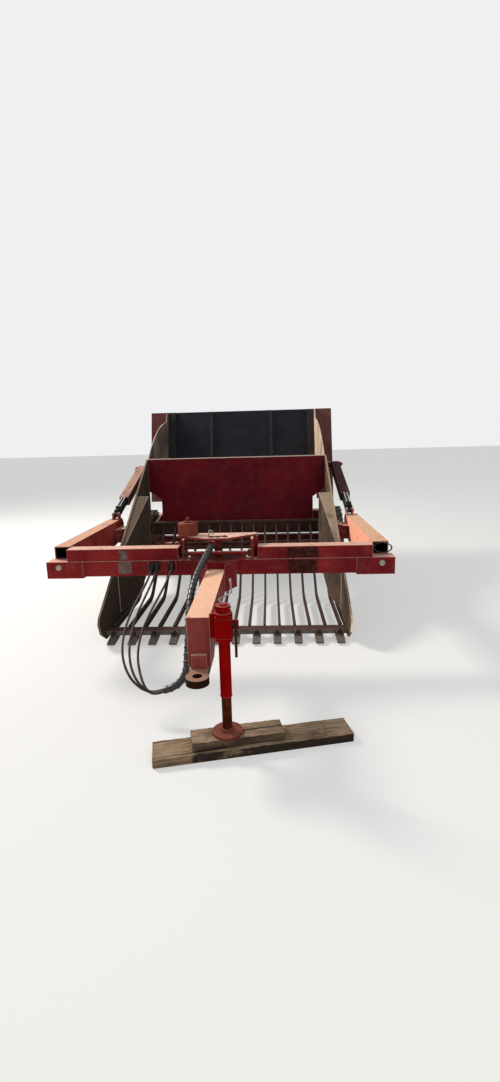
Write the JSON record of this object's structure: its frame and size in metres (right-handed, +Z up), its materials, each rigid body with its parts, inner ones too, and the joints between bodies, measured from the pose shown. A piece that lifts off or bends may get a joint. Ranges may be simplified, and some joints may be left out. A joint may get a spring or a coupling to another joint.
{
  "type": "trailed stone picker",
  "caption": "Trailed stone picker with a barred scoop and tipping hopper, lift rams, swinging drawbar, jack and hoses, parked on planks.",
  "frame": {"origin": "on the ground, at the middle of the machine's box", "axes": "+X to the right as seen from the front, +Y to the machine's rear, +Z up; the drawbar points along -Y"},
  "size_m": [2.5, 4.8596, 1.98],
  "materials": {
    "red": "faded red paint, matt",
    "mud": "red paint under dried grey-brown mud",
    "dark": "dark blue-black, dirty",
    "rust": "rusty brown steel",
    "worn": "worn grey steel",
    "black": "black paint",
    "bright": "bright steel",
    "tyre": "matt rubber",
    "rim": "faded red paint",
    "hose": "black rubber",
    "wood": "weathered planks"
  },
  "bodies": {
    "frame": {"beam_lower": "red", "beam_pins": "worn", "beam_upper": "red", "arm_left": "red", "arm_right": "red", "turret": "red", "oil_pot": "red", "side_plates": "red", "axle": "red", "axle_stubs": "worn", "cross_member": "red", "plank_lower": "wood", "plank_upper": "wood", "hose_a": "hose", "hose_b": "hose", "hose_c": "hose", "hose_sleeve": "hose", "hose_sockets": "bright"},
    "drawbar": {"drawbar": "red", "drawbar_head": "red", "tow_eye": "red", "jack_tube": "red", "jack_crank": "worn"},
    "jack_leg": {"jack_leg": "rust"},
    "bucket": {"scoop_side_left": "mud", "scoop_side_right": "mud", "funnels": "mud", "bars": "rust", "toe_bar": "rust", "cross_tube": "rust", "teeth": "worn", "front_plate": "red", "hopper": "mud", "back_wall": "dark", "wall_ribs": "dark", "posts": "red", "tip_lugs": "red", "lift_bosses": "red"},
    "wheel_left": {"tyre_left": "tyre", "rim_left": "rim"},
    "wheel_right": {"tyre_right": "tyre", "rim_right": "rim"},
    "lift_barrel_left": {"lift_barrel_left": "black"},
    "lift_barrel_right": {"lift_barrel_right": "black"},
    "lift_guard_left": {"lift_guard_left": "red", "lift_rod_left": "bright"},
    "lift_guard_right": {"lift_guard_right": "red", "lift_rod_right": "bright"}
  },
  "joints": [
    {"name": "drawbar_swing", "type": "hinge", "parent": "frame", "child": "drawbar", "pos_m": [0, -1.11517, 0.78], "axis": [0, 0, 1], "range_deg": [0, 18]},
    {"name": "jack_lift", "type": "slide", "parent": "drawbar", "child": "jack_leg", "axis": [0, 0, 1], "range_m": [0, 0.165]},
    {"name": "bucket_tip", "type": "hinge", "parent": "frame", "child": "bucket", "pos_m": [0, 1.82483, 0.62], "axis": [-1, 0, 0], "range_deg": [0, 80]},
    {"name": "wheel_turn_left", "type": "hinge", "parent": "frame", "child": "wheel_left", "pos_m": [-1.155, 1.57483, 0.38], "axis": [1, 0, 0], "continuous": true},
    {"name": "wheel_turn_right", "type": "hinge", "parent": "frame", "child": "wheel_right", "pos_m": [1.155, 1.57483, 0.38], "axis": [1, 0, 0], "continuous": true},
    {"name": "lift_swing_left", "type": "hinge", "parent": "frame", "child": "lift_barrel_left", "pos_m": [-1.142, 0.20483, 0.905], "axis": [-1, 0, 0], "range_deg": [-1, 14]},
    {"name": "lift_stroke_left", "type": "slide", "parent": "lift_barrel_left", "child": "lift_guard_left", "axis": [0, 0.9499, 0.3126], "range_m": [0, 1.03]},
    {"name": "lift_swing_right", "type": "hinge", "parent": "frame", "child": "lift_barrel_right", "pos_m": [1.142, 0.20483, 0.905], "axis": [-1, 0, 0], "range_deg": [-1, 14]},
    {"name": "lift_stroke_right", "type": "slide", "parent": "lift_barrel_right", "child": "lift_guard_right", "axis": [0, 0.9499, 0.3126], "range_m": [0, 1.03]}
  ],
  "couplings": [
    {"joint": "lift_swing_left", "follows": "bucket_tip", "ratio": 0.1388},
    {"joint": "lift_stroke_left", "follows": "bucket_tip", "m_per_rad": 0.7069},
    {"joint": "lift_swing_right", "follows": "bucket_tip", "ratio": 0.1388},
    {"joint": "lift_stroke_right", "follows": "bucket_tip", "m_per_rad": 0.7069}
  ]
}
